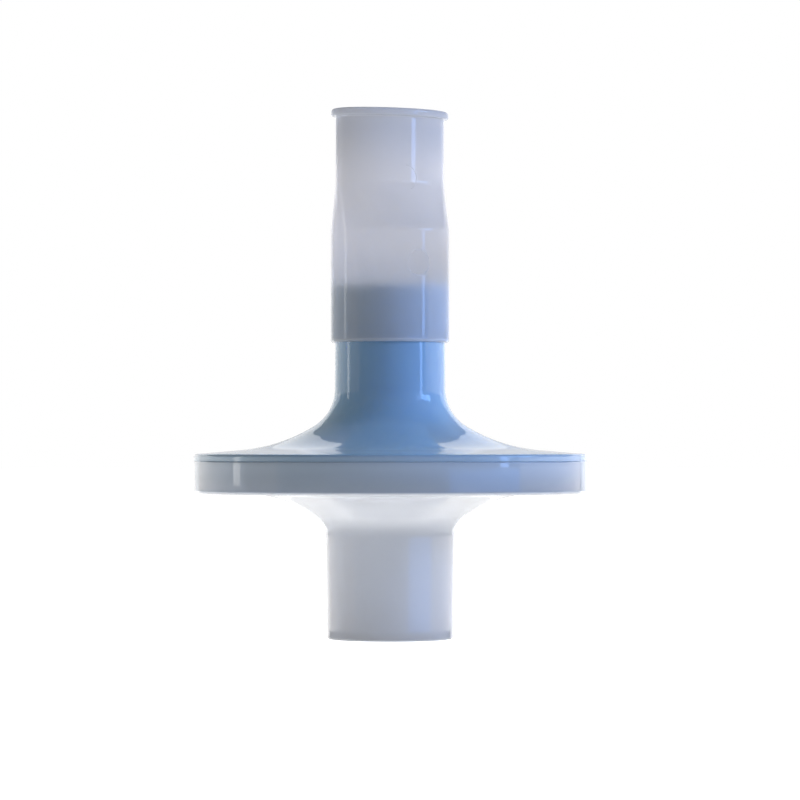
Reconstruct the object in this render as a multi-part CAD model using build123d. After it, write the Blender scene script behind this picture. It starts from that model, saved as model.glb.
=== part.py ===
from build123d import *
import os
from math import cos, radians, sin, tan

# A single-patient spirometry filter that stands on its machine port.
# Lengths are in millimetres, Z runs up the air path, and Z = 0 is the open end of the machine port.

# Machine port, the lower tube that plugs onto the spirometer
machine_port_od = 33.0
machine_port_bore = 30.0
machine_port_land = 10.0
machine_tube_length = 26.5
machine_root_od = 33.7
port_edge_round = 0.5

# Trumpet flare of the machine shell
machine_tight_radius = 6.8
machine_tight_angle = 56.4
machine_wide_radius = 34.4
floor_lean = 90.0

# Welded rim that holds the two shells together
rim_od = 102.9
rim_height = 8.4
rim_wall = 1.6
rim_corner_round = 1.0
rim_top_round = 0.3
cap_step = 0.15
cap_edge_thickness = 1.9
cap_corner_round = 0.8

# Trumpet flare of the patient shell
patient_tight_radius = 11.5
patient_tight_angle = 58.6
patient_wide_radius = 43.5
cap_lean = 85.0
patient_wall = 1.5

# Patient port, the upper tube under the mouthpiece
patient_port_root_od = 28.9
patient_port_end_od = 28.5
patient_port_length = 26.9
port_end_chamfer = 0.4

# Filter pad and what clamps it
pad_thickness = 2.4
pad_side_gap = 0.35
pad_seat_height = 0.9
pad_seat_width = 1.6
skirt_wall = 1.5
skirt_clearance = 0.1

# Radial ribs that keep the pad flat in both shells
rib_count = 12
rib_thickness = 1.0
rib_inner_radius = 20.0
rib_sink = 0.8

# Mouthpiece: a round sleeve that turns into a flat oval for the lips
sleeve_od = 31.0
sleeve_fit = 0.03
sleeve_overlap = 14.9
sleeve_length = 28.5
sleeve_end_round = 0.7
sleeve_lead_in = 0.3
neck_length = 13.8
neck_crease = 0.125
neck_sections = 8
oval_minor = 17.2
oval_turn = 29.3
oval_length = 18.5
lip_overhang = 1.2
lip_thickness = 2.0
lip_top_round = 0.9
lip_under_round = 0.5
lip_root_round = 0.55
lip_inner_round = 0.35

# Two round flats that mould inserts leave on the front of the mouthpiece
insert_mark_diameter = 6.5
insert_mark_depth = 0.12
lower_mark_above_sleeve_end = 20.4
upper_mark_above_neck = 0.5

# How far a cutting form runs past the ends of what it cuts, and how near an edge is to count as level
overrun = 1.0
level_gap = 0.01


def trumpet(start, heading, turn, tight, tight_angle, wide, lean):
    """Two tangent arcs that open a tube's wall out to a disc; turn is 1 to the left, -1 to the right."""
    throat = JernArc(start, heading, tight, turn * tight_angle)
    bell = JernArc(throat @ 1, throat % 1, wide, turn * (lean - tight_angle))
    return throat, bell


def revolved(edges):
    """A solid of revolution about Z from a closed outline given as radius and height."""
    return revolve(Plane.XZ * make_face(edges), Axis.Z)


def radial_ribs(throat, bell, outer, pad_face):
    """Evenly spaced upright ribs between a shell's inner face and the pad, rooted in the shell's wall."""
    room = revolved([
        throat,
        bell,
        Polyline(bell @ 1, outer, (outer[0], pad_face), ((throat @ 0).X, pad_face), throat @ 0)])
    room -= Cylinder(rib_inner_radius, 2 * port_end)
    # One blade right across the shell makes a rib on each side of the air path.
    blade = Box(rim_od, rib_thickness, 2 * port_end)
    pairs = rib_count // 2
    return [room & (Rot(0, 0, 180 * (i + 0.5) / pairs) * blade) for i in range(pairs)]


# Radii that the shells share
machine_bore_radius = machine_port_bore / 2
machine_root_radius = machine_root_od / 2
machine_wall = machine_root_radius - machine_bore_radius
rim_radius = rim_od / 2
rim_inner_radius = rim_radius - rim_wall
cap_radius = rim_radius - cap_step
skirt_radius = rim_inner_radius - skirt_clearance
skirt_inner_radius = skirt_radius - skirt_wall
seat_inner_radius = rim_inner_radius - pad_seat_width
patient_root_radius = patient_port_root_od / 2
patient_end_radius = patient_port_end_od / 2
patient_bore_radius = patient_root_radius - patient_wall

# The machine shell's flare sets the height of its floor, and the floor sets what stands on it.
machine_throat, machine_bell = trumpet(
    (machine_root_radius, machine_tube_length), (0, 1), -1,
    machine_tight_radius, machine_tight_angle, machine_wide_radius, floor_lean)
floor_under = (machine_bell @ 1).Y
floor_top = floor_under + machine_wall
pad_bottom = floor_top + pad_seat_height
pad_top = pad_bottom + pad_thickness
seam = floor_under + rim_height

# The cap leans up from its edge to the patient flare, which sets the height of the port.
cap_slope = tan(radians(90 - cap_lean))
cap_edge = seam + cap_edge_thickness
cap_corner_start = cap_radius - cap_corner_round * (1 - cos(radians(cap_lean)))
loose_bell = trumpet(
    (patient_root_radius, 0), (0, -1), 1,
    patient_tight_radius, patient_tight_angle, patient_wide_radius, cap_lean)[1]
flare_top = cap_edge + (cap_corner_start - (loose_bell @ 1).X) * cap_slope - (loose_bell @ 1).Y
port_end = flare_top + patient_port_length

# The mouthpiece is pushed on until its sleeve grips the port's taper.
sleeve_end = port_end - sleeve_overlap
port_taper = (patient_root_radius - patient_end_radius) / patient_port_length
port_radius_at_sleeve_end = patient_root_radius - port_taper * (sleeve_end - flare_top)
sleeve_radius = sleeve_od / 2
sleeve_wall = sleeve_radius - port_radius_at_sleeve_end - sleeve_fit
turned = Rot(0, 0, oval_turn)
neck_start = sleeve_end + sleeve_length
neck_end = neck_start + neck_length
mouth_end = neck_end + oval_length


def make_machine_shell():
    """White lower half: port, trumpet flare, ribbed floor with a pad seat, and the outer rim wall."""
    port_radius = machine_port_od / 2
    inner_throat, inner_bell = trumpet(
        (machine_bore_radius, machine_tube_length), (0, 1), -1,
        machine_tight_radius + machine_wall, machine_tight_angle,
        machine_wide_radius + machine_wall, floor_lean)
    edge = JernArc((port_radius - port_edge_round, 0), (1, 0), port_edge_round, 90)
    corner = JernArc((rim_radius - rim_corner_round, floor_under), (1, 0), rim_corner_round, 90)
    lip = JernArc((rim_radius, seam - rim_top_round), (0, 1), rim_top_round, 90)
    shell = revolved([
        Line((machine_bore_radius, 0), edge @ 0),
        edge,
        Polyline(edge @ 1, (port_radius, machine_port_land), machine_throat @ 0),
        machine_throat,
        machine_bell,
        Line(machine_bell @ 1, corner @ 0),
        corner,
        Line(corner @ 1, lip @ 0),
        lip,
        Polyline(
            lip @ 1,
            (rim_inner_radius, seam),
            (rim_inner_radius, pad_bottom),
            (seat_inner_radius, pad_bottom),
            (seat_inner_radius, floor_top),
            inner_bell @ 1),
        inner_bell,
        inner_throat,
        Line(inner_throat @ 0, (machine_bore_radius, 0))])
    sunk_throat, sunk_bell = trumpet(
        (machine_bore_radius + rib_sink, machine_tube_length), (0, 1), -1,
        machine_tight_radius + machine_wall - rib_sink, machine_tight_angle,
        machine_wide_radius + machine_wall - rib_sink, floor_lean)
    seat_middle = (seat_inner_radius + pad_seat_width / 2, floor_top - rib_sink)
    return shell + radial_ribs(sunk_throat, sunk_bell, seat_middle, pad_bottom)


def make_patient_shell():
    """Blue upper half: ribbed cap whose skirt nests in the rim and clamps the pad, flare and patient port."""
    throat, bell = trumpet(
        (patient_root_radius, flare_top), (0, -1), 1,
        patient_tight_radius, patient_tight_angle, patient_wide_radius, cap_lean)
    inner_throat, inner_bell = trumpet(
        (patient_bore_radius, flare_top), (0, -1), 1,
        patient_tight_radius + patient_wall, patient_tight_angle,
        patient_wide_radius + patient_wall, cap_lean)
    corner = JernArc((cap_corner_start, cap_edge), bell % 1, cap_corner_round, -cap_lean)
    skirt_root = (inner_bell @ 1).Y - (skirt_inner_radius - (inner_bell @ 1).X) * cap_slope
    shell = revolved([
        Polyline(
            (patient_bore_radius, port_end),
            (patient_end_radius - port_end_chamfer, port_end),
            (patient_end_radius, port_end - port_end_chamfer),
            throat @ 0),
        throat,
        bell,
        Line(bell @ 1, corner @ 0),
        corner,
        Polyline(
            corner @ 1,
            (cap_radius, seam),
            (skirt_radius, seam),
            (skirt_radius, pad_top),
            (skirt_inner_radius, pad_top),
            (skirt_inner_radius, skirt_root),
            inner_bell @ 1),
        inner_bell,
        inner_throat,
        Line(inner_throat @ 0, (patient_bore_radius, port_end))])
    sunk_throat, sunk_bell = trumpet(
        (patient_bore_radius + rib_sink, flare_top), (0, -1), 1,
        patient_tight_radius + patient_wall - rib_sink, patient_tight_angle,
        patient_wide_radius + patient_wall - rib_sink, cap_lean)
    skirt_middle_radius = skirt_radius - skirt_wall / 2
    skirt_middle = (
        skirt_middle_radius,
        (sunk_bell @ 1).Y - (skirt_middle_radius - (sunk_bell @ 1).X) * cap_slope)
    return shell + radial_ribs(sunk_throat, sunk_bell, skirt_middle, pad_top)


def make_filter_pad():
    """Electrostatic non-woven disc, clamped at its edge between the pad seat and the skirt."""
    radius = rim_inner_radius - pad_side_gap
    return Pos(0, 0, pad_bottom) * Cylinder(radius, pad_thickness, align=(Align.CENTER, Align.CENTER, Align.MIN))


def eased(share):
    """How far the neck has turned from round to oval: a straight ramp with a soft crease at each end."""
    steepness = 1 / (1 - neck_crease)
    if share < neck_crease:
        return steepness * share ** 2 / (2 * neck_crease)
    if share > 1 - neck_crease:
        return 1 - steepness * (1 - share) ** 2 / (2 * neck_crease)
    return steepness * (share - neck_crease / 2)


def mouthpiece_core(inset, reach):
    """Sleeve, neck and oval as one form, drawn in by an inset and lengthened at both ends by a reach."""
    radius = sleeve_radius - inset
    half_minor = oval_minor / 2 - inset
    sleeve = Pos(0, 0, sleeve_end - reach) * extrude(Circle(radius), sleeve_length + reach)
    sections = []
    for i in range(neck_sections + 1):
        share = i / neck_sections
        depth = radius + (half_minor - radius) * eased(share)
        sections.append(Pos(0, 0, neck_start + neck_length * share) * turned * Ellipse(radius, depth))
    oval = Pos(0, 0, neck_end) * turned * extrude(Ellipse(radius, half_minor), oval_length + reach)
    return sleeve + loft(sections) + oval


def make_mouthpiece():
    """Milky push-on mouthpiece: round sleeve, neck, oval with a rolled lip, and two insert marks."""
    body = mouthpiece_core(0, 0)
    body = fillet(body.edges().group_by(Axis.Z)[0], sleeve_end_round)

    # The lip is a wider oval plate round the open end, rounded at its edge and into the wall below it.
    lip_under = mouth_end - lip_thickness
    plate = Ellipse(sleeve_radius + lip_overhang, oval_minor / 2 + lip_overhang)
    lip = Pos(0, 0, lip_under) * turned * extrude(plate, lip_thickness)
    lip = fillet(lip.edges().group_by(Axis.Z)[-1], lip_top_round)
    lip = fillet(lip.edges().group_by(Axis.Z)[0], lip_under_round)
    body += lip
    under_edges = body.edges().filter_by_position(Axis.Z, lip_under - level_gap, lip_under + level_gap)
    body = fillet(under_edges.sort_by(SortBy.LENGTH)[0], lip_root_round)

    body -= mouthpiece_core(sleeve_wall, overrun)
    body = fillet(body.edges().group_by(Axis.Z)[-1].sort_by(SortBy.LENGTH)[0], lip_inner_round)
    body = chamfer(body.edges().group_by(Axis.Z)[0].sort_by(SortBy.LENGTH)[0], sleeve_lead_in)

    # Each mark is a shallow round recess that follows the surface that it sits in.
    skin = mouthpiece_core(insert_mark_depth, 0)
    punch = turned * Rot(90, 0, 0) * extrude(Circle(insert_mark_diameter / 2), sleeve_od)
    for height in (sleeve_end + lower_mark_above_sleeve_end, neck_end + upper_mark_above_neck):
        body -= Pos(0, 0, height) * punch - skin
    return body


machine_shell = make_machine_shell()
patient_shell = make_patient_shell()
filter_pad = make_filter_pad()
mouthpiece = make_mouthpiece()

os.makedirs("parts", exist_ok=True)
export_step(machine_shell, "parts/machine_shell.step")
export_step(patient_shell, "parts/patient_shell.step")
export_step(filter_pad, "parts/filter_pad.step")
export_step(mouthpiece, "parts/mouthpiece.step")
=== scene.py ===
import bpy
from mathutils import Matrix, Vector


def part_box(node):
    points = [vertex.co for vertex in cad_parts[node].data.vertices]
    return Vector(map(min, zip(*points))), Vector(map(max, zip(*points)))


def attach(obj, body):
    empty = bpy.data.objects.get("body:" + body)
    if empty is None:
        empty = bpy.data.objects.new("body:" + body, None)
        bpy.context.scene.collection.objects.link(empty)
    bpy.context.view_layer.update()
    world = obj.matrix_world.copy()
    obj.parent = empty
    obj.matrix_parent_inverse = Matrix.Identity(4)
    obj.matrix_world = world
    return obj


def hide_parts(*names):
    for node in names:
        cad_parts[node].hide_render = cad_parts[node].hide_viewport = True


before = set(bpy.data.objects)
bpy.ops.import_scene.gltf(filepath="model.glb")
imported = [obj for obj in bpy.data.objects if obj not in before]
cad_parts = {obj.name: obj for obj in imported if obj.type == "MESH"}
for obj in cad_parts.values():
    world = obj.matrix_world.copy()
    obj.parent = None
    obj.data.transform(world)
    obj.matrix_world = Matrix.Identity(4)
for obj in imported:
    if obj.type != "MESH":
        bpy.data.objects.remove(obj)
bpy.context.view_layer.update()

from math import asin, atan2, cos, degrees, pi, radians, sin, tan

import bmesh
import bpy
from mathutils import Matrix, Vector

# MACHINE SHELL. The white lower half: a tube that plugs onto the spirometer, a trumpet flare, a floor with
# radial ribs and the rim wall that the blue cap sits on. It is injection moulded in one piece, in a slightly
# translucent glossy polymer, and welded to the patient shell along the rim.

# The pieces' sizes are in millimetres, and MM turns them into metres. Every round wall has AROUND sides.
MM = 0.001
AROUND = 192

port_radius = 16.5
port_bore = 15.0
port_land = 10.0
port_round = 0.5
tube_length = 26.5
root_radius = 16.85
tight_radius, tight_turn, tight_steps = 6.8, 56.4, 20
wide_radius, wide_turn, wide_steps = 34.4, 90 - tight_turn, 24
rim_wall = 1.6
corner_round = 1.0
rim_edge_round = 0.3
pad_seat_height = 0.9
pad_seat_width = 1.6
rib_count = 12
rib_thickness = 1.0
rib_inner_radius = 20.0
rib_sink = 0.8
rib_to_pad = 0.01

rim_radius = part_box("machine_shell")[1].x / MM
rim_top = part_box("machine_shell")[1].z / MM
pad_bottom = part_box("filter_pad")[0].z / MM
shell_wall = root_radius - port_bore
rim_inner_radius = rim_radius - rim_wall
seat_radius = rim_inner_radius - pad_seat_width
floor_top = pad_bottom - pad_seat_height
floor_under = floor_top - shell_wall
floor_start = (
    root_radius + tight_radius * (1 - cos(radians(tight_turn))) + wide_radius * cos(radians(tight_turn)))

natural_white = (0.72, 0.72, 0.73)
bright_white = (0.76, 0.76, 0.77)
# The rim wall's blue-grey is painted show-through of the blue skirt, and painted shade darkens it to the
# foot.
rim_foot, rim_full, rim_pale = 38.0, 38.9, 45.5
painted_rim_shade = (0.16, 0.22, 0.31)
painted_rim_show_through = (0.43, 0.53, 0.65)


class Outline:
    """A wall's section, drawn in millimetres as radius and height, then spun round Z."""

    def __init__(self, radius, height):
        self.bm = bmesh.new()
        self.start = self.tip = self.bm.verts.new((radius * MM, 0, height * MM))
        self.heading = 0

    def to(self, radius, height, steps=1):
        """A straight stretch, which also sets the heading of the next arc."""
        run = Vector((radius * MM, 0, height * MM)) - self.tip.co
        for _ in range(steps):
            grown = bmesh.ops.extrude_vert_indiv(self.bm, verts=[self.tip])["verts"]
            bmesh.ops.translate(self.bm, verts=grown, vec=run / steps)
            self.tip = grown[0]
        self.heading = degrees(atan2(run.z, run.x))
        return self

    def facing(self, heading):
        """Sets the heading of the next arc by itself, in degrees from outwards to up."""
        self.heading = heading
        return self

    def arc(self, radius, turn, steps):
        """An arc that goes on from the last stretch; a positive turn goes left."""
        side = radians(self.heading + (90 if turn > 0 else -90))
        centre = self.tip.co + Vector((cos(side), 0, sin(side))) * radius * MM
        swept = bmesh.ops.spin(
            self.bm, geom=[self.tip], cent=centre, axis=(0, -1, 0), angle=radians(turn),
            steps=steps, use_merge=False, use_duplicate=False)
        self.tip = next(v for v in swept["geom_last"] if isinstance(v, bmesh.types.BMVert))
        self.heading += turn
        return self

    def closed(self):
        """Joins the end of the line to its start."""
        self.bm.edges.new((self.tip, self.start))
        return self

    def spun(self):
        """The outline turned into a wall with a full turn."""
        bmesh.ops.spin(
            self.bm, geom=self.bm.verts[:] + self.bm.edges[:], cent=(0, 0, 0), axis=(0, 0, 1),
            angle=2 * pi, steps=AROUND, use_merge=True, use_duplicate=False)
        bmesh.ops.remove_doubles(self.bm, verts=self.bm.verts[:], dist=0.001 * MM)
        bmesh.ops.recalc_face_normals(self.bm, faces=self.bm.faces[:])
        return self.bm

    def blades(self, thickness, count):
        """The closed outline made into upright plates, spaced evenly about Z."""
        bm = self.bm
        face = bmesh.ops.contextual_create(bm, geom=bm.edges[:])["faces"]
        bmesh.ops.translate(bm, verts=bm.verts[:], vec=(0, -thickness / 2 * MM, 0))
        grown = bmesh.ops.extrude_face_region(bm, geom=face)["geom"]
        side = [v for v in grown if isinstance(v, bmesh.types.BMVert)]
        bmesh.ops.translate(bm, verts=side, vec=(0, thickness * MM, 0))
        bmesh.ops.rotate(bm, verts=bm.verts[:], cent=(0, 0, 0), matrix=Matrix.Rotation(pi / count, 3, "Z"))
        bmesh.ops.spin(
            bm, geom=bm.verts[:] + bm.edges[:] + bm.faces[:], cent=(0, 0, 0), axis=(0, 0, 1),
            angle=2 * pi * (count - 1) / count, steps=count - 1, use_merge=False, use_duplicate=True)
        bmesh.ops.recalc_face_normals(bm, faces=bm.faces[:])
        return bm


def as_object(bm, name):
    """The finished mesh as an object that stands at the origin."""
    mesh = bpy.data.meshes.new(name)
    bm.to_mesh(mesh)
    bm.free()
    thing = bpy.data.objects.new(name, mesh)
    bpy.context.scene.collection.objects.link(thing)
    return thing


def joined_to(thing, extra, operation="UNION"):
    """One boolean step, applied to the mesh, after which the second object is gone."""
    step = thing.modifiers.new("join", "BOOLEAN")
    step.operation = operation
    step.solver = "MANIFOLD"
    step.object = extra
    bpy.context.view_layer.update()
    result = bpy.data.meshes.new_from_object(thing.evaluated_get(bpy.context.evaluated_depsgraph_get()))
    thing.modifiers.clear()
    thing.data = result
    bpy.data.objects.remove(extra)
    return thing


def finished(thing, body, nodes, material):
    """Smooth shading with sharp edges past 30 degrees, the finish, and the body that the piece rides on."""
    thing.data.shade_smooth()
    thing.data.set_sharp_from_angle(angle=radians(30))
    thing.data.materials.clear()
    thing.data.materials.append(material)
    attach(thing, body)
    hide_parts(*nodes)


class Wire:
    """A shader socket that sums and products can be written with."""

    def __init__(self, finish, socket):
        self.finish, self.socket = finish, socket

    def maths(self, operation, *values):
        return self.finish.node("ShaderNodeMath", {"operation": operation}, dict(enumerate(values)))[0]

    def __add__(self, other):
        return self.maths("ADD", self, other)

    def __sub__(self, other):
        return self.maths("SUBTRACT", self, other)

    def __rsub__(self, other):
        return self.maths("SUBTRACT", other, self)

    def __mul__(self, other):
        return self.maths("MULTIPLY", self, other)

    __radd__ = __add__
    __rmul__ = __mul__

    def between(self, low, high):
        """0 up to low, 1 from high on, and a soft step between them."""
        settings = {"interpolation_type": "SMOOTHSTEP"}
        sockets = {"Value": self, "From Min": low, "From Max": high}
        return self.finish.node("ShaderNodeMapRange", settings, sockets)[0]


class Finish:
    """The nodes of a material or of the studio's world: its own shader and what varies over the surface."""

    def __init__(self, owner, **constants):
        self.owner = owner
        owner.use_nodes = True
        self.tree = owner.node_tree
        self.output = next(node for node in self.tree.nodes if node.name.endswith("Output"))
        self.shader = next(node for node in self.tree.nodes if not node.name.endswith("Output"))
        for socket, value in constants.items():
            self.shader.inputs[socket.replace("_", " ")].default_value = value

    def node(self, kind, settings, sockets):
        """Adds a node: its settings first, then what its sockets hold or are linked to."""
        made = self.tree.nodes.new(kind)
        for setting, value in settings.items():
            setattr(made, setting, value)
        for socket, value in sockets.items():
            if isinstance(value, Wire):
                self.tree.links.new(value.socket, made.inputs[socket])
            else:
                made.inputs[socket].default_value = value
        return [Wire(self, socket) for socket in made.outputs]

    def feed(self, socket, wire):
        """Links a wire to a socket of the shader."""
        self.tree.links.new(wire.socket, self.shader.inputs[socket])

    def show(self, wire):
        """Puts a wire in the shader's place at the output."""
        self.tree.links.new(wire.socket, self.output.inputs[0])

    def place(self):
        """The object's own coordinates, in metres."""
        return self.node("ShaderNodeTexCoord", {}, {})[3]

    def spot(self):
        """The same coordinates as separate x, y and z."""
        return self.node("ShaderNodeSeparateXYZ", {}, {0: self.place()})

    def above(self, low, high):
        """0 under the low height, 1 over the high one, both in millimetres, and a soft step between them."""
        return self.spot()[2].between(low * MM, high * MM)

    def noise(self, size, detail):
        """Soft noise whose lumps are about size millimetres across."""
        sockets = {"Vector": self.place(), "Scale": 1 / (size * MM), "Detail": detail}
        return self.node("ShaderNodeTexNoise", {}, sockets)[0]

    def tinted(self, amount, first, second):
        """A colour that goes from the first to the second as amount goes from 0 to 1."""
        first, second = (end if isinstance(end, Wire) else (*end, 1) for end in (first, second))
        return self.node("ShaderNodeMix", {"data_type": "RGBA"}, {0: amount, 6: first, 7: second})[2]

    def bumped(self, height, depth):
        """Relief of the given height map, depth in millimetres."""
        sockets = {"Height": height, "Distance": depth * MM, "Strength": 1.0}
        normal = self.node("ShaderNodeBump", {}, sockets)[0]
        self.feed("Normal", normal)
        return normal

    def milky(self, share, colour, gloss, face, steep, normal):
        """Passes a share of the light on to the far side, under a clear skin.

        Seen straight on, the skin mirrors as much as face says, and at a grazing angle everything. A higher
        steep keeps that rise closer to the edge.
        """
        body = Wire(self, self.shader.outputs[0])
        through = self.node("ShaderNodeBsdfTranslucent", {}, {"Color": (*colour, 1)})[0]
        body = self.node("ShaderNodeMixShader", {}, {0: share, 1: body, 2: through})[0]
        mirror = {"Color": (1, 1, 1, 1), "Roughness": gloss, "Normal": normal}
        skin = self.node("ShaderNodeBsdfAnisotropic", {}, mirror)[0]
        aside = self.node("ShaderNodeLayerWeight", {}, {"Blend": 0.5})[1]
        shine = face + (1 - face) * aside.maths("POWER", aside, steep)
        self.show(self.node("ShaderNodeMixShader", {}, {0: shine, 1: body, 2: skin})[0])


def white_plastic():
    """Lets much light through in the tube, and less in the rim wall, which has the blue skirt behind it."""
    finish = Finish(bpy.data.materials.new("white_plastic"), Specular_IOR_Level=0.0)
    plain = finish.tinted(finish.noise(9, 3), natural_white, bright_white)
    on_rim = finish.above(rim_foot, rim_full)
    # Painted rim colour: show-through of the blue skirt, with painted shade towards the foot.
    painted_rim_tint = finish.tinted(finish.above(rim_foot, rim_pale), painted_rim_shade, painted_rim_show_through)
    finish.feed("Base Color", finish.tinted(on_rim, plain, painted_rim_tint))
    finish.feed("Roughness", 0.75 + finish.noise(0.5, 2) * 0.1)
    normal = finish.bumped(finish.noise(6, 1), 0.01)
    finish.milky(share=0.7 - on_rim * 0.5, colour=(0.865, 0.89, 0.93), gloss=0.03, face=0.045, steep=3.7,
                 normal=normal)
    return finish.owner


wall = Outline(port_bore, port_round).to(port_bore, 0).to(port_radius - port_round, 0)
wall.arc(port_round, 90, 6).to(port_radius, port_land, 4).to(root_radius, tube_length, 8)
wall.facing(90).arc(tight_radius, -tight_turn, tight_steps).arc(wide_radius, -wide_turn, wide_steps)
wall.to(rim_radius - corner_round, floor_under, 6).arc(corner_round, 90, 8)
wall.to(rim_radius, rim_top - rim_edge_round, 6).arc(rim_edge_round, 90, 4)
wall.to(rim_inner_radius, rim_top).to(rim_inner_radius, pad_bottom).to(seat_radius, pad_bottom)
wall.to(seat_radius, floor_top).to(floor_start, floor_top, 4)
wall.arc(wide_radius + shell_wall, wide_turn, wide_steps)
wall.arc(tight_radius + shell_wall, tight_turn, tight_steps)
shell = as_object(wall.closed().spun(), "machine_shell_moulding")

rib_reach = seat_radius + pad_seat_width / 2
sunk_wide = wide_radius + shell_wall - rib_sink
rib_turn = degrees(asin((floor_start - rib_inner_radius) / sunk_wide))
rib = Outline(rib_inner_radius, pad_bottom - rib_to_pad).to(rib_reach, pad_bottom - rib_to_pad)
rib.to(rib_reach, floor_top - rib_sink).to(floor_start, floor_top - rib_sink)
rib.arc(sunk_wide, rib_turn, wide_steps)
shell = joined_to(shell, as_object(rib.closed().blades(rib_thickness, rib_count), "ribs"))
finished(shell, "filter", ["machine_shell"], white_plastic())

# FILTER PAD. A disc of electrostatic non-woven fibre that catches what the breath carries. It is cut flat and
# clamped at its edge between the machine shell's seat and the patient shell's skirt, with no glue.

pad_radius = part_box("filter_pad")[1].x / MM
pad_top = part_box("filter_pad")[1].z / MM
pad_edge = 0.5
fibre_shadow = (0.80, 0.80, 0.77)
fibre_white = (0.95, 0.95, 0.92)


def filter_media():
    finish = Finish(bpy.data.materials.new("filter_media"), Roughness=0.95, Sheen_Weight=0.3)
    fibres = finish.noise(0.25, 6)
    finish.feed("Base Color", finish.tinted(fibres, fibre_shadow, fibre_white))
    finish.bumped(fibres + finish.noise(2.5, 3), 0.25)
    return finish.owner


pad = Outline(0, pad_bottom).to(pad_radius - pad_edge, pad_bottom, 24).arc(pad_edge, 90, 4)
pad.to(pad_radius, pad_top - pad_edge).arc(pad_edge, 90, 4).to(0, pad_top, 24)
disc = as_object(pad.spun(), "fibre_disc")
finished(disc, "filter", ["filter_pad"], filter_media())

# PATIENT SHELL. The blue upper half: a gently leaning cap with a skirt that nests inside the white rim, a
# trumpet flare and the tube that the mouthpiece is pushed on. It is injection moulded in one piece, in a
# glossy polymer, and welded to the machine shell along the rim.

cap_edge_thickness = 1.9
cap_round = 0.8
cap_lean = 85.0
seam_chamfer = 0.15
throat_radius, throat_turn = 11.5, 58.6
bell_radius, bell_turn = 43.5, cap_lean - throat_turn
flare_steps = 24
patient_wall = 1.5
patient_root = 14.45
patient_end = 14.25
patient_port_length = 26.9
port_chamfer = 0.4
skirt_wall = 1.5
skirt_gap = 0.1

cap_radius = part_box("patient_shell")[1].x / MM
port_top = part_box("patient_shell")[1].z / MM
skirt_radius = rim_inner_radius - skirt_gap
flare_top = port_top - patient_port_length
corner_start = cap_radius - cap_round * (1 - cos(radians(cap_lean)))
slope = tan(radians(90 - cap_lean))

deep_blue = (0.28, 0.48, 0.70)
light_blue = (0.30, 0.51, 0.73)
# Painted reflection: the cap's rounded edge band is painted greyer.
band_painted_reflection = (0.36, 0.49, 0.63)
band_start, band_full = 50.7, 51.3


def blue_plastic():
    """A blue body that light sinks a little way into, under a clear gloss, with a painted grey reflection on
    the edge band.
    """
    finish = Finish(
        bpy.data.materials.new("blue_plastic"), IOR=1.5, Specular_IOR_Level=0.0, Subsurface_Weight=1.0,
        Subsurface_Radius=(1.0, 1.0, 1.0), Subsurface_Scale=0.6 * MM, Coat_Weight=1.0, Coat_Roughness=0.015,
        Coat_IOR=1.5)
    plain = finish.tinted(finish.noise(9, 3), deep_blue, light_blue)
    x, y = finish.spot()[:2]
    band = (x * x + y * y).between((band_start * MM) ** 2, (band_full * MM) ** 2)
    finish.feed("Base Color", finish.tinted(band, plain, band_painted_reflection))
    finish.feed("Roughness", 0.4 + finish.noise(0.5, 2) * 0.1)
    finish.bumped(finish.noise(6, 1), 0.006)
    return finish.owner


def under_cap(point, depth):
    """The point that lies so deep under a point on the cap's leaning top."""
    return point[0] - depth * cos(radians(cap_lean)), point[1] - depth * sin(radians(cap_lean))


throat_end = (
    patient_root + throat_radius * (1 - cos(radians(throat_turn))),
    flare_top - throat_radius * sin(radians(throat_turn)))
bell_end = (
    throat_end[0] + bell_radius * (cos(radians(throat_turn)) - cos(radians(cap_lean))),
    throat_end[1] - bell_radius * (sin(radians(cap_lean)) - sin(radians(throat_turn))))
inner_end = under_cap(bell_end, patient_wall)
skirt_root = inner_end[1] - (skirt_radius - skirt_wall - inner_end[0]) * slope

wall = Outline(patient_root - patient_wall, port_top).to(patient_end - port_chamfer, port_top)
wall.to(patient_end, port_top - port_chamfer).to(patient_root, flare_top, 10)
wall.facing(-90).arc(throat_radius, throat_turn, flare_steps).arc(bell_radius, bell_turn, flare_steps)
wall.to(corner_start, rim_top + cap_edge_thickness, 10).arc(cap_round, -cap_lean, 8)
wall.to(cap_radius, rim_top + seam_chamfer).to(cap_radius - seam_chamfer, rim_top)
wall.to(skirt_radius, rim_top).to(skirt_radius, pad_top).to(skirt_radius - skirt_wall, pad_top)
wall.to(skirt_radius - skirt_wall, skirt_root).to(*inner_end, 8)
wall.arc(bell_radius + patient_wall, -bell_turn, flare_steps)
wall.arc(throat_radius + patient_wall, -throat_turn, flare_steps)
cap = as_object(wall.closed().spun(), "patient_shell_moulding")

sunk_end = under_cap(bell_end, patient_wall - rib_sink)
rib_reach = skirt_radius - skirt_wall / 2
sunk_bell = bell_radius + patient_wall - rib_sink
rib_turn = cap_lean - 90 + degrees(
    asin((sunk_end[0] - rib_inner_radius) / sunk_bell + sin(radians(90 - cap_lean))))
rib = Outline(rib_inner_radius, pad_top + rib_to_pad).to(rib_reach, pad_top + rib_to_pad)
rib.to(rib_reach, sunk_end[1] - (rib_reach - sunk_end[0]) * slope).to(*sunk_end)
rib.arc(sunk_bell, -rib_turn, flare_steps)
cap = joined_to(cap, as_object(rib.closed().blades(rib_thickness, rib_count), "ribs"))
finished(cap, "filter", ["patient_shell"], blue_plastic())

# MOUTHPIECE. A milky push-on tube, round where it grips the blue port and flattened to an oval for the lips,
# with a rolled lip round the open end. It is injection moulded, and pushed on by hand at any angle.

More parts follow.
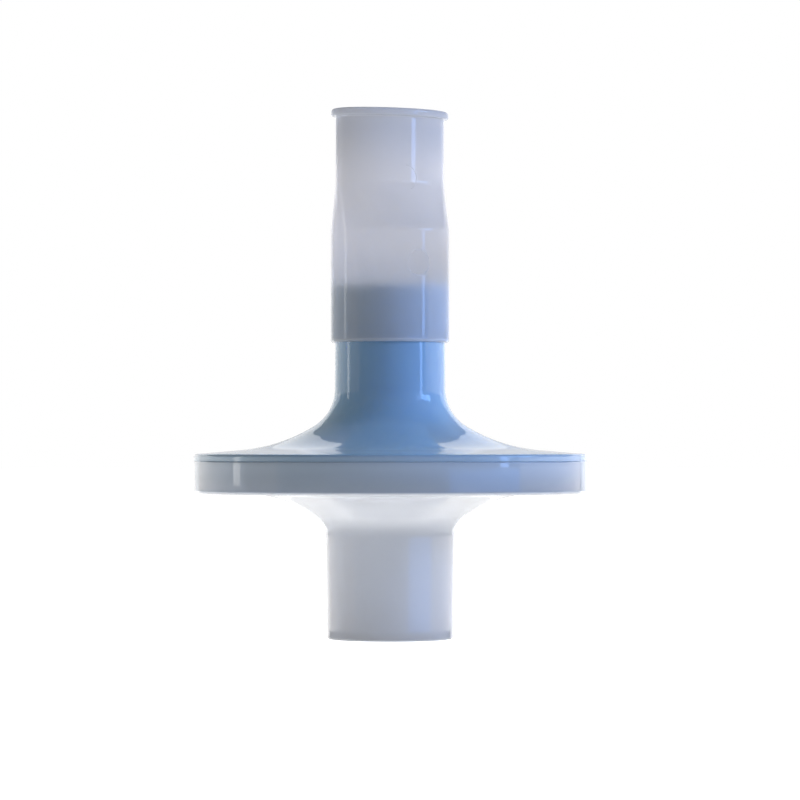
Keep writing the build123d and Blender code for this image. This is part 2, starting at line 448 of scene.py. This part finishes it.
sleeve_radius = 15.5
bore_radius = 14.391
sleeve_length = 28.5
neck_length = 13.8
neck_crease = 0.125
oval_minor = 8.6
oval_turn = 29.3
lip_overhang = 1.2
lip_thickness = 2.0
end_round = 0.7
lead_in = 0.3
root_round = 0.55
under_round = 0.5
top_round = 0.9
inner_round = 0.35
sleeve_steps, neck_steps, oval_steps = 12, 32, 8

sleeve_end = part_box("mouthpiece")[0].z / MM
mouth_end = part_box("mouthpiece")[1].z / MM
sleeve_wall = sleeve_radius - bore_radius
bore_minor = oval_minor - sleeve_wall
neck_start = sleeve_end + sleeve_length
neck_end = neck_start + neck_length
lip_under = mouth_end - lip_thickness
bore_end = mouth_end - inner_round

port_rise = (77.9, 78.3)
neck_rise = (91.5, 92.5)
oval_rise = (99.0, 122.0)
lip_rise = (118.0, 137.0)
milk = (0.87, 0.88, 0.90)
pale_milk = (0.90, 0.91, 0.93)
# Painted shade: the oval is painted darker towards the lip.
lip_painted_shade = (0.63, 0.66, 0.71)


def milky_plastic():
    """Passes most of the light on, most of all in the neck, and less over the blue port and up the oval."""
    finish = Finish(bpy.data.materials.new("milky_plastic"), Specular_IOR_Level=0.0)
    plain = finish.tinted(finish.noise(9, 3), milk, pale_milk)
    by_the_lip = finish.above(*lip_rise)
    # Painted shade: the milky colour darkens up the oval towards the lip.
    finish.feed("Base Color", finish.tinted(by_the_lip, plain, lip_painted_shade))
    finish.feed("Roughness", 0.75 + finish.noise(0.5, 2) * 0.1)
    normal = finish.bumped(finish.noise(5, 1), 0.01)
    share = 0.86 + finish.above(*neck_rise) * 0.12 - finish.above(*oval_rise) * 0.17
    share = share - by_the_lip * 0.22 - (1 - finish.above(*port_rise)) * 0.3
    finish.milky(share=share, colour=(0.97, 0.963, 0.965), gloss=0.025, face=0.034, steep=6.0, normal=normal)
    return finish.owner


class OvalTube:
    """A closed tube wall, grown ring by ring from a circle, with its oval turned about Z."""

    def __init__(self, major, minor, height):
        self.bm = bmesh.new()
        self.turn = Matrix.Rotation(radians(-oval_turn), 4, "Z")
        bmesh.ops.create_circle(self.bm, segments=AROUND, radius=1)
        self.ring = self.bm.verts[:]
        self.first = self.bm.edges[:]
        self.size = (1, 1, 0)
        self.shape(major, minor, height)

    def shape(self, major, minor, height):
        """Stretches the last ring to its oval and lifts it to its height."""
        was = self.size
        bmesh.ops.scale(
            self.bm, verts=self.ring, space=self.turn,
            vec=(major * MM / was[0], minor * MM / was[1], 1))
        bmesh.ops.translate(self.bm, verts=self.ring, vec=(0, 0, height * MM - was[2]))
        self.size = (major * MM, minor * MM, height * MM)

    def last(self):
        """The edges of the last ring."""
        ring = set(self.ring)
        return [e for e in self.bm.edges if e.verts[0] in ring and e.verts[1] in ring]

    def grow(self, major, minor, height):
        """One more ring, with a band of faces up to it."""
        grown = bmesh.ops.extrude_edge_only(self.bm, edges=self.last())["geom"]
        self.ring = [v for v in grown if isinstance(v, bmesh.types.BMVert)]
        self.shape(major, minor, height)

    def closed(self):
        """Bridges the last ring to the first."""
        bmesh.ops.bridge_loops(self.bm, edges=self.first + self.last())
        bmesh.ops.recalc_face_normals(self.bm, faces=self.bm.faces[:])
        return self.bm


def eased(share):
    """How far the neck has gone from round to oval: a straight run with a soft crease at each end."""
    steep = 1 / (1 - neck_crease)
    if share < neck_crease:
        return steep * share ** 2 / (2 * neck_crease)
    if share > 1 - neck_crease:
        return 1 - steep * (1 - share) ** 2 / (2 * neck_crease)
    return steep * (share - neck_crease / 2)


def shares(count):
    """Even steps up to 1, without the start."""
    return [i / count for i in range(1, count + 1)]


def round_steps(count):
    """Sine and cosine shares of a quarter round, in even steps."""
    return [(sin(pi / 2 * share), 1 - cos(pi / 2 * share)) for share in shares(count)]


def outside(tube, inset):
    """Sleeve, neck and oval up to the lip, on a skin that lies so far inside the surface."""
    radius, minor = sleeve_radius - inset, oval_minor - inset
    for share in shares(sleeve_steps):
        tube.grow(radius, radius, sleeve_end + end_round + (sleeve_length - end_round) * share)
    for share in shares(neck_steps):
        tube.grow(radius, radius + (minor - radius) * eased(share), neck_start + neck_length * share)
    for share in shares(oval_steps):
        tube.grow(radius, minor, neck_end + (lip_under - root_round - neck_end) * share)


def lip_ring(tube, overhang, height):
    """A ring that stands out from the oval's outer wall, or in from it where the overhang is negative."""
    tube.grow(sleeve_radius + overhang, oval_minor + overhang, height)


tube = OvalTube(sleeve_radius - end_round, sleeve_radius - end_round, sleeve_end)
for along, up in round_steps(6):
    grown = sleeve_radius - end_round * (1 - along)
    tube.grow(grown, grown, sleeve_end + end_round * up)
outside(tube, 0)
for along, up in round_steps(5):
    lip_ring(tube, root_round * up, lip_under - root_round * (1 - along))
lip_ring(tube, lip_overhang - under_round, lip_under)
for along, up in round_steps(5):
    lip_ring(tube, lip_overhang - under_round * (1 - along), lip_under + under_round * up)
lip_ring(tube, lip_overhang, mouth_end - top_round)
for along, up in round_steps(8):
    lip_ring(tube, lip_overhang - top_round * up, mouth_end - top_round * (1 - along))
lip_ring(tube, inner_round - sleeve_wall, mouth_end)
for along, up in round_steps(4):
    lip_ring(tube, inner_round * (1 - along) - sleeve_wall, mouth_end - inner_round * up)
for share in shares(oval_steps):
    tube.grow(bore_radius, bore_minor, bore_end - (bore_end - neck_end) * share)
for share in shares(neck_steps):
    minor = bore_radius + (bore_minor - bore_radius) * eased(1 - share)
    tube.grow(bore_radius, minor, neck_end - neck_length * share)
for share in shares(sleeve_steps):
    tube.grow(bore_radius, bore_radius, neck_start - (sleeve_length - lead_in) * share)
tube.grow(bore_radius + lead_in, bore_radius + lead_in, sleeve_end)
mouth = as_object(tube.closed(), "mouthpiece_moulding")

mark_radius = 3.15
upper_mark = neck_end + 0.5
upper_depth = 0.2
lower_mark = sleeve_end + 20.4
lower_facet = 15.05
lower_flank = 0.8
skin_core = 6.0


def punch(height, start, length, flank):
    """A round cutter that points at the tube's side, from so far out, and widens outwards by the flank."""
    bm = bmesh.new()
    forwards = Matrix.Rotation(radians(oval_turn), 4, "Z") @ Matrix.Rotation(radians(90), 4, "X")
    bmesh.ops.create_cone(
        bm, cap_ends=True, segments=64, radius1=mark_radius * MM, radius2=(mark_radius + flank) * MM,
        depth=length * MM, matrix=Matrix.Translation((0, 0, height * MM)) @ forwards
        @ Matrix.Translation((0, 0, (start + length / 2) * MM)))
    return as_object(bm, "punch")


# The upper mark follows the wall, so a skin that lies under the surface is taken off its cutter first. The
# lower mark is a flat facet.
skin = OvalTube(skin_core, skin_core, sleeve_end + end_round)
outside(skin, upper_depth)
skin.grow(skin_core, skin_core, lip_under - root_round)
upper = punch(upper_mark, start=7, length=20, flank=0)
upper = joined_to(upper, as_object(skin.closed(), "skin"), "DIFFERENCE")
mouth = joined_to(mouth, upper, "DIFFERENCE")
lower = punch(lower_mark, start=lower_facet, length=1, flank=lower_flank)
mouth = joined_to(mouth, lower, "DIFFERENCE")
finished(mouth, "mouthpiece", ["mouthpiece"], milky_plastic())

# FLOOR, LIGHT AND CAMERA. A white floor that only the camera sees, a bright backdrop close behind the part
# and a wing at each side. A cool window stands at the right and a narrow warm strip at the left. The two
# fills and the light from below show only on dull surfaces, and the room above is dark.

floor_reach = 6000.0
foot_radius = 16.4
foot_grey = (0.2, 0.2, 0.2, 1)
paper_white = (1.0, 1.0, 1.0)

sweep = Finish(
    bpy.data.materials.new("sweep"), Roughness=0.9, Emission_Color=(*paper_white, 1), Emission_Strength=1.0)
bm = bmesh.new()
bmesh.ops.create_grid(bm, x_segments=1, y_segments=1, size=floor_reach * MM)
floor = as_object(bm, "floor")
floor.data.materials.append(sweep.owner)
floor.visible_diffuse = floor.visible_glossy = floor.visible_transmission = floor.visible_shadow = False

# A dark disc under the open tube, hidden from the camera, keeps the light from below out of its bore.
bm = bmesh.new()
bmesh.ops.create_circle(bm, cap_ends=True, segments=48, radius=foot_radius * MM)
foot = as_object(bm, "foot_shade")
foot_finish = Finish(bpy.data.materials.new("foot_shade"), Roughness=1.0, Base_Color=foot_grey)
foot.data.materials.append(foot_finish.owner)
foot.visible_camera = False


def panel(name, azimuth, distance, height, width, tall, colour, brightness, mirrored=True):
    """A soft rectangular light that faces the part's axis, with all its lengths in metres.

    The azimuth is counted in degrees from the camera's side towards the right, and the height is that of the
    middle. The power grows with the area, so panels of the same brightness look alike at any size.
    """
    data = bpy.data.lights.new(name, "AREA")
    data.shape = "RECTANGLE"
    data.size, data.size_y = width, tall
    data.color = colour
    data.energy = brightness * width * tall * pi
    light = bpy.data.objects.new(name, data)
    bpy.context.scene.collection.objects.link(light)
    way = radians(azimuth)
    light.location = (distance * sin(way), -distance * cos(way), height)
    light.rotation_euler = (pi / 2, 0, way)
    light.visible_camera = False
    light.visible_glossy = mirrored
    return light


# Each row gives azimuth, distance, height, width, tallness, colour and brightness.
cool_white = (0.97, 0.98, 1.0)
warm_white = (1.0, 0.98, 0.96)
panel("backdrop", 180, 0.8, 0.292, 2.2, 0.204, cool_white, 0.9)
panel("backdrop_top", 180, 0.8, 0.467, 0.39, 0.146, cool_white, 0.9)
panel("backdrop_foot", 180, 0.8, 0.02, 0.326, 0.34, cool_white, 0.52)
panel("right_foot", 157, 0.83, 0.02, 0.338, 0.34, cool_white, 1.05)
panel("left_foot", -157, 0.83, 0.02, 0.338, 0.34, warm_white, 1.05)
panel("right_wing", 112, 0.9, 0.07, 1.17, 0.26, (1.0, 0.94, 0.9), 1.0)
panel("left_wing", -118, 0.9, 0.07, 0.96, 0.26, (1.0, 0.94, 0.88), 0.92)
panel("left_haze", -78, 0.9, 0.07, 0.38, 0.26, (1.0, 0.75, 0.5), 0.5)
panel("left_strip", -97, 0.85, 0.195, 0.09, 0.33, (1.0, 0.97, 0.93), 2.2)
panel("softbox", 82, 1.0, 0.42, 0.42, 0.22, (0.24, 0.48, 1.0), 8.5)
panel("softbox_side", 64, 1.0, 0.47, 0.25, 0.2, (0.30, 0.50, 1.0), 3.0)
panel("window_gap", 68, 1.0, 0.2, 0.1, 0.3, (0.26, 0.46, 1.0), 6.6)
panel("side_fill", 68, 1.0, 0.54, 0.77, 0.39, (0.48, 0.56, 0.83), 7.6, mirrored=False)
panel("low_glow", 56, 1.0, -0.02, 0.83, 0.115, (0.12, 0.36, 1.0), 2.1)
panel("back_fill", 180, 0.8, 0.22, 1.6, 0.26, (1.0, 0.97, 0.92), 3.8, mirrored=False)
under = panel("under_light", 0, 0.0, -0.5, 0.45, 0.45, warm_white, 6.6, mirrored=False)
under.rotation_euler = (pi, 0, 0)

ceiling_grey = (0.07, 0.07, 0.07)
room_grey = (0.31, 0.31, 0.31)
back_and_down = (0, 0.5, -0.866)
down = (0, 0, -1)

# The camera sees plain white all round. Every other ray sees a dark room with a white floor behind the part,
# brighter straight below.
bpy.context.scene.world = bpy.data.worlds.new("studio")
sky = Finish(bpy.context.scene.world)
towards = sky.node("ShaderNodeTexCoord", {}, {})[0]
behind = sky.node("ShaderNodeVectorMath", {"operation": "DOT_PRODUCT"}, {0: towards, 1: back_and_down})[1]
below = sky.node("ShaderNodeVectorMath", {"operation": "DOT_PRODUCT"}, {0: towards, 1: down})[1]
room = sky.tinted(below.between(-0.9, -0.5), ceiling_grey, room_grey)
sky.feed("Color", sky.tinted(behind.between(0.3, 0.5) * below.between(0.08, 0.2), room, paper_white))
sky.feed("Strength", 1 + below.between(0.55, 0.9) * 0.8)
white = sky.node("ShaderNodeBackground", {}, {"Color": (*paper_white, 1)})[0]
camera_ray = sky.node("ShaderNodeLightPath", {}, {})[0]
lit = Wire(sky, sky.shader.outputs[0])
sky.show(sky.node("ShaderNodeMixShader", {}, {0: camera_ray, 1: lit, 2: white})[0])

eye_height = 50.8
eye_distance = 923.0
eye_offset = 2.6
eye_tilt = 0.714
lens = 158.8

camera_data = bpy.data.cameras.new("camera")
camera_data.lens = lens
camera_data.clip_end = 50
camera = bpy.data.objects.new("camera", camera_data)
camera.location = (eye_offset * MM, -eye_distance * MM, eye_height * MM)
camera.rotation_euler = (radians(90 + eye_tilt), 0, 0)
bpy.context.scene.collection.objects.link(camera)
bpy.context.scene.camera = camera
bpy.context.scene.view_settings.view_transform = "Standard"
